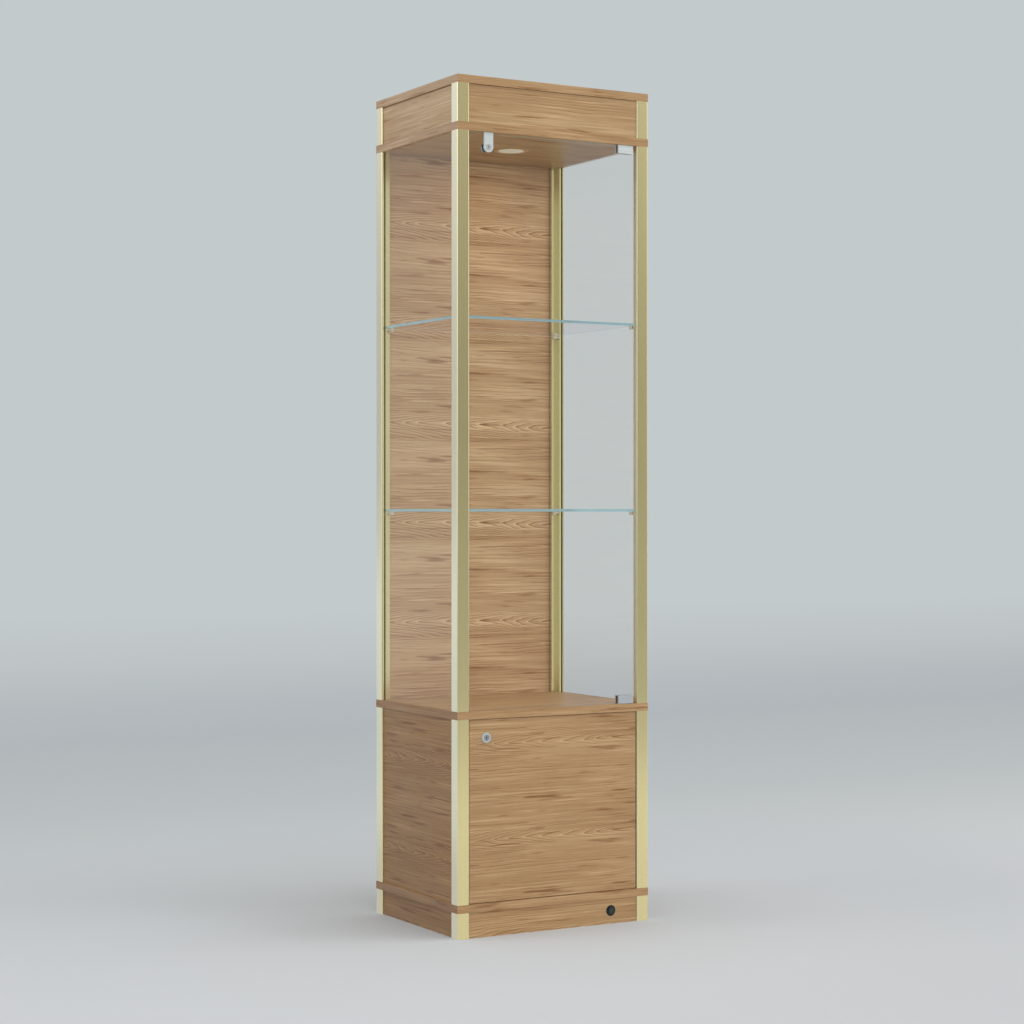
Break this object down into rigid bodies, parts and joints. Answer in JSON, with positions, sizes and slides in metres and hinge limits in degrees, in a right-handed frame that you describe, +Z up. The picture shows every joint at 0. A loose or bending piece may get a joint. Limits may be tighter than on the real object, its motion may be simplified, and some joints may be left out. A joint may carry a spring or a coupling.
{
  "type": "display cabinet",
  "caption": "Tall glazed display cabinet with oak boards, champagne metal corner posts, glass shelves, lockable glass door, cupboard below and a ceiling downlight.",
  "frame": {"origin": "middle of the footprint at floor level", "axes": "+X to the right as seen from the front, +Y to the back, +Z up; the doors face -Y"},
  "size_m": [0.5, 0.4, 1.905],
  "materials": {
    "oak": "matt light oak with the grain running across",
    "champagne_metal": "satin champagne anodised",
    "clear_glass": "clear, polished edges",
    "satin_metal": "satin chrome",
    "brass": "satin",
    "lamp_brass": "satin",
    "black_rubber": "matt",
    "black_plastic": "satin",
    "grey_plastic": "satin",
    "lens_white": "opal",
    "driver_white": "matt"
  },
  "bodies": {
    "cabinet": {"top_board": "oak", "ceiling_board": "oak", "deck_board": "oak", "base_board": "oak", "canopy_post_front_left": "champagne_metal", "canopy_post_front_right": "champagne_metal", "canopy_post_back_left": "champagne_metal", "canopy_post_back_right": "champagne_metal", "display_post_front_left": "champagne_metal", "display_post_front_right": "champagne_metal", "display_post_back_left": "champagne_metal", "display_post_back_right": "champagne_metal", "storage_post_front_left": "champagne_metal", "storage_post_front_right": "champagne_metal", "storage_post_back_left": "champagne_metal", "storage_post_back_right": "champagne_metal", "plinth_post_front_left": "champagne_metal", "plinth_post_front_right": "champagne_metal", "plinth_post_back_left": "champagne_metal", "plinth_post_back_right": "champagne_metal", "canopy_panel_front": "oak", "canopy_panel_back": "oak", "canopy_panel_left": "oak", "canopy_panel_right": "oak", "display_back_panel": "oak", "side_glass_left": "clear_glass", "side_glass_right": "clear_glass", "glazing_gaskets": "black_rubber", "shelf_upper": "clear_glass", "shelf_lower": "clear_glass", "shelf_supports": "brass", "pivot_pins": "satin_metal", "storage_side_left": "oak", "storage_side_right": "oak", "storage_back_panel": "oak", "plinth_panel_front": "oak", "plinth_panel_back": "oak", "plinth_panel_left": "oak", "plinth_panel_right": "oak", "switch_body": "black_plastic", "downlight_can": "lamp_brass", "downlight_lens": "lens_white", "lamp_driver": "driver_white", "cable_grommet": "black_rubber", "tie_rods": "satin_metal"},
    "glass_door": {"glass_door_pane": "clear_glass", "door_patch_top": "satin_metal", "door_patch_bottom": "satin_metal", "glass_door_pads": "black_rubber", "glass_lock_plate": "satin_metal", "glass_lock_case": "satin_metal"},
    "glass_lock_plug": {"glass_lock_plug": "satin_metal"},
    "glass_lock_bolt": {"glass_lock_bolt": "satin_metal"},
    "storage_door": {"storage_door_panel": "oak", "storage_door_bushes": "brass", "storage_lock_barrel": "satin_metal", "storage_lock_nut": "satin_metal"},
    "storage_lock": {"storage_lock_plug": "satin_metal", "storage_lock_cam": "satin_metal"},
    "light_switch": {"switch_button": "grey_plastic"}
  },
  "joints": [
    {"name": "glass_door_hinge", "type": "hinge", "parent": "cabinet", "child": "glass_door", "pos_m": [0.204, -0.19, 1.142], "axis": [0, 0, 1], "range_deg": [0, 105]},
    {"name": "glass_lock_turn", "type": "hinge", "parent": "glass_door", "child": "glass_lock_plug", "pos_m": [-0.17, -0.19, 1.75], "axis": [0, -1, 0], "range_deg": [0, 90]},
    {"name": "glass_lock_bolt_slide", "type": "slide", "parent": "glass_door", "child": "glass_lock_bolt", "axis": [0, 0, 1], "range_m": [0, 0.008]},
    {"name": "storage_door_hinge", "type": "hinge", "parent": "cabinet", "child": "storage_door", "pos_m": [0.208, -0.192, 0.279], "axis": [0, 0, 1], "range_deg": [0, 105]},
    {"name": "storage_lock_turn", "type": "hinge", "parent": "storage_door", "child": "storage_lock", "pos_m": [-0.176, -0.19, 0.441], "axis": [0, 1, 0], "range_deg": [0, 90]},
    {"name": "light_switch_press", "type": "slide", "parent": "cabinet", "child": "light_switch", "axis": [0, 1, 0], "range_m": [0, 0.0015], "stiffness_N_per_m": 300, "springref_m": -0.001}
  ],
  "couplings": [
    {"joint": "glass_lock_bolt_slide", "follows": "glass_lock_turn", "m_per_rad": 0.00509}
  ]
}
